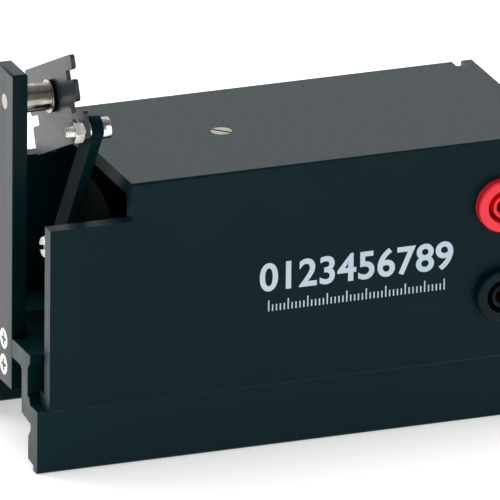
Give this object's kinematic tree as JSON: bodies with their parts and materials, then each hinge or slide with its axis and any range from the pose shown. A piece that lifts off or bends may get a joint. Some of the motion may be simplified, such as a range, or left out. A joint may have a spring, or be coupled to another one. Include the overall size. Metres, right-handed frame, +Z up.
{
  "type": "ripple tank wave drive",
  "caption": "Motor-driven wave maker: stepped black housing on a hat rail, post with a rocking slotted plate, connecting rod and crank, red and black safety sockets.",
  "frame": {"origin": "centre of the rail's footprint, on the surface that its feet stand on", "axes": "+X along the housing away from the post, -Y on the side with the sockets, +Z up"},
  "size_m": [0.1442, 0.0628, 0.1089],
  "materials": {
    "black_shell": "satin black coat on aluminium tube, a faint grain",
    "black_rail": "satin black anodised extrusion and bar",
    "grey_sheet": "dark grey satin sheet",
    "black_plastic": "matt black moulding",
    "black_gloss": "glossy black moulding",
    "red_plastic": "glossy red moulding",
    "bright_steel": "nickel-plated steel",
    "zinc": "dark passivated steel",
    "brass": "turned brass",
    "dark_iron": "dark sintered and laminated iron"
  },
  "bodies": {
    "frame": {"housing": "black_shell", "base_rail": "black_rail", "end_plate": "black_shell", "top_screw": "bright_steel", "motor_block": "black_plastic", "motor_block_screws": "bright_steel", "post": "black_rail", "post_block": "black_rail", "post_screws": "bright_steel", "pivot_shaft": "bright_steel", "pivot_clip": "bright_steel", "output_bush": "brass", "lay_pin": "bright_steel", "gearbox_case": "black_plastic", "gearbox_lid": "black_plastic", "gearbox_screws": "bright_steel", "motor_can": "zinc", "motor_front_bearing": "brass", "motor_rear_bearing": "brass", "motor_magnets": "dark_iron", "motor_end_cap": "black_plastic", "motor_terminals": "brass", "red_socket_body": "red_plastic", "red_socket_contact": "brass", "red_socket_nut": "red_plastic", "black_socket_body": "black_gloss", "black_socket_contact": "brass", "black_socket_nut": "black_gloss", "red_lead": "red_plastic", "black_lead": "black_gloss"},
    "rocker": {"rocker_plate": "grey_sheet", "rocker_bush": "bright_steel", "rocker_washer": "black_plastic", "rod_bolt": "bright_steel", "rod_nut": "bright_steel"},
    "rod": {"connecting_rod": "black_rail", "crank_pin": "bright_steel", "crank_pin_washer": "bright_steel"},
    "crank": {"crank_disc": "black_plastic", "crank_grub_screw": "bright_steel", "output_shaft": "bright_steel", "output_gear": "brass"},
    "lay_wheel": {"lay_gear": "brass"},
    "rotor": {"motor_shaft": "bright_steel", "motor_armature": "dark_iron", "motor_commutator": "brass", "motor_pinion": "brass"}
  },
  "joints": [
    {"name": "rocker_swing", "type": "hinge", "parent": "frame", "child": "rocker", "pos_m": [-0.0582, -0.0027, 0.0935], "axis": [1, 0, 0], "range_deg": [-3.7, 41.3]},
    {"name": "rod_pivot", "type": "hinge", "parent": "rocker", "child": "rod", "pos_m": [-0.0562, -0.02538, 0.09177], "axis": [1, 0, 0], "range_deg": [-46.1, 4.6]},
    {"name": "crank_spin", "type": "hinge", "parent": "frame", "child": "crank", "pos_m": [-0.05, 0, 0.0424], "axis": [1, 0, 0], "continuous": true},
    {"name": "lay_wheel_spin", "type": "hinge", "parent": "frame", "child": "lay_wheel", "pos_m": [-0.04, 0.00807, 0.0459], "axis": [1, 0, 0], "continuous": true},
    {"name": "rotor_spin", "type": "hinge", "parent": "frame", "child": "rotor", "pos_m": [-0.01, 0, 0.0494], "axis": [1, 0, 0], "continuous": true}
  ],
  "couplings": [
    {"joint": "rod_pivot", "follows": "rocker_swing", "ratio": -1.104},
    {"joint": "lay_wheel_spin", "follows": "rotor_spin", "ratio": -0.375},
    {"joint": "crank_spin", "follows": "rotor_spin", "ratio": 0.14062}
  ]
}
